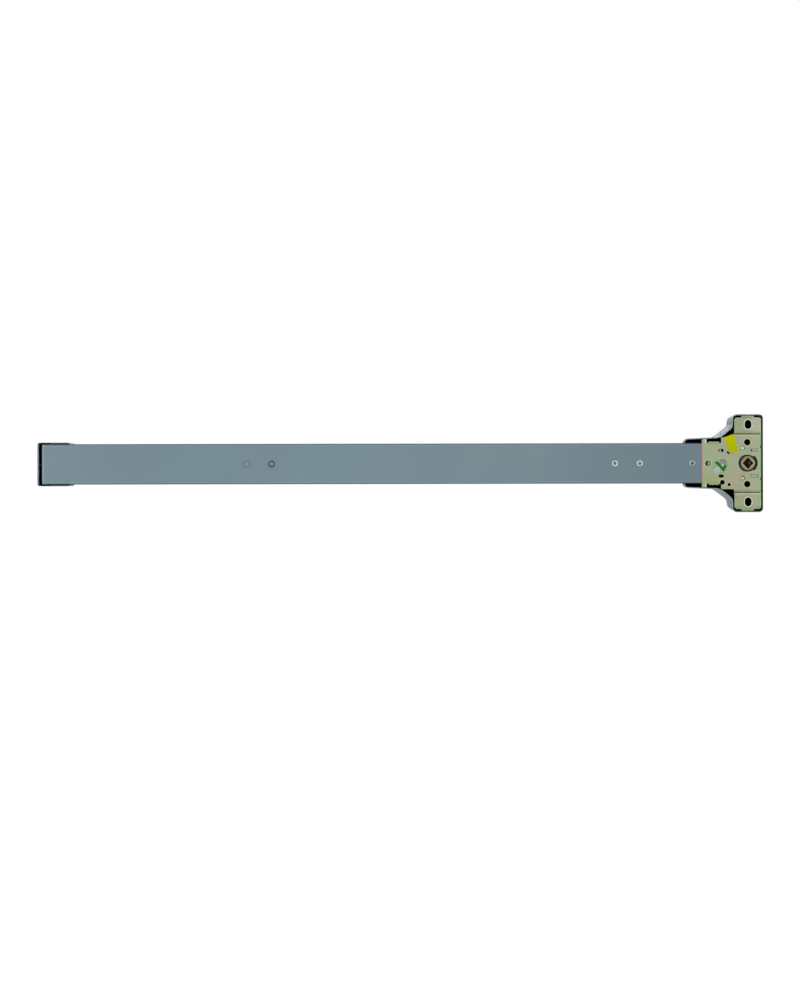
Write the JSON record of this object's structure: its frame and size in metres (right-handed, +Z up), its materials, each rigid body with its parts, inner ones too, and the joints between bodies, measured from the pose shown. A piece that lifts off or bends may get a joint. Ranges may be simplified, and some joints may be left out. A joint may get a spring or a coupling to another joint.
{
  "type": "panic bar",
  "caption": "Touch-bar exit device: long push bar in a steel channel that turns a square spindle follower in its lock-end head.",
  "frame": {"origin": "on the door plane, at the axis of the square follower and midway between the two slotted fixing holes", "axes": "+X along the bar towards the head's lock end, +Y away from the door towards the hand, +Z up"},
  "size_m": [0.8954, 0.062, 0.121],
  "materials": {
    "grey_paint": "satin blue-grey powder coat",
    "painted_rivet": "painted over, worn bright at the rim",
    "silver_paint": "satin silver coat",
    "grey_plastic": "silver-grey moulded plastic",
    "yellow_zinc_steel": "yellow chromated zinc plate, iridescent",
    "bright_steel": "bright zinc plate",
    "dull_steel": "plain pickled steel",
    "spring_steel": "oiled spring wire",
    "bronze_follower": "sintered bronze-coloured steel",
    "black_plastic": "moulded black plastic",
    "black_rubber": "moulded rubber"
  },
  "bodies": {
    "frame": {"channel": "grey_paint", "filler_cover": "grey_paint", "end_cap": "grey_plastic", "end_insert": "black_plastic", "end_cap_screw": "bright_steel", "chassis_plate": "yellow_zinc_steel", "head_cover": "silver_paint", "cover_screws": "bright_steel", "mechanism_housing": "yellow_zinc_steel", "rear_bush": "black_plastic", "guide_pins": "bright_steel", "rocker_bracket_left": "yellow_zinc_steel", "rocker_bracket_right": "yellow_zinc_steel", "pivot_pin_left": "bright_steel", "pivot_pin_right": "bright_steel", "channel_rivets": "painted_rivet", "rubber_buffers": "black_rubber", "spring_bracket": "yellow_zinc_steel", "return_spring": "spring_steel"},
    "touch_bar": {"touch_bar": "silver_paint", "touch_bar_plug_left": "black_plastic", "touch_bar_plug_right": "black_plastic", "hanger_left": "yellow_zinc_steel", "hanger_right": "yellow_zinc_steel"},
    "rocker_left": {"rocker_left": "dull_steel", "pad_pin_left": "bright_steel", "rod_pin_left": "bright_steel"},
    "rocker_right": {"rocker_right": "dull_steel", "pad_pin_right": "bright_steel", "rod_pin_right": "bright_steel"},
    "pull_rod": {"pull_rod": "dull_steel", "rod_nuts": "bright_steel", "spring_washer": "bright_steel", "slide_plate": "dull_steel"},
    "follower": {"follower": "bronze_follower", "crank_pin": "bright_steel"}
  },
  "joints": [
    {"name": "touch_bar_push", "type": "slide", "parent": "frame", "child": "touch_bar", "axis": [0, -1, 0], "range_m": [0, 0.012], "stiffness_N_per_m": 1800, "springref_m": -0.015},
    {"name": "rocker_left_pivot", "type": "hinge", "parent": "frame", "child": "rocker_left", "pos_m": [-0.61245, 0.029, 0], "axis": [0, 0, 1], "range_deg": [-26.7, 0]},
    {"name": "rocker_right_pivot", "type": "hinge", "parent": "frame", "child": "rocker_right", "pos_m": [-0.15795, 0.029, 0], "axis": [0, 0, 1], "range_deg": [-26.7, 0]},
    {"name": "pull_rod_slide", "type": "slide", "parent": "frame", "child": "pull_rod", "axis": [-1, 0, 0], "range_m": [0, 0.00693], "deforming": ["return_spring"]},
    {"name": "follower_turn", "type": "hinge", "parent": "frame", "child": "follower", "pos_m": [0, 0, 0], "axis": [0, 1, 0], "range_deg": [-40.6, 0]}
  ],
  "couplings": [
    {"joint": "rocker_left_pivot", "follows": "touch_bar_push", "rad_per_m": -38.811},
    {"joint": "rocker_right_pivot", "follows": "touch_bar_push", "rad_per_m": -38.811},
    {"joint": "pull_rod_slide", "follows": "touch_bar_push", "ratio": 0.57692},
    {"joint": "follower_turn", "follows": "touch_bar_push", "rad_per_m": -58.911}
  ]
}
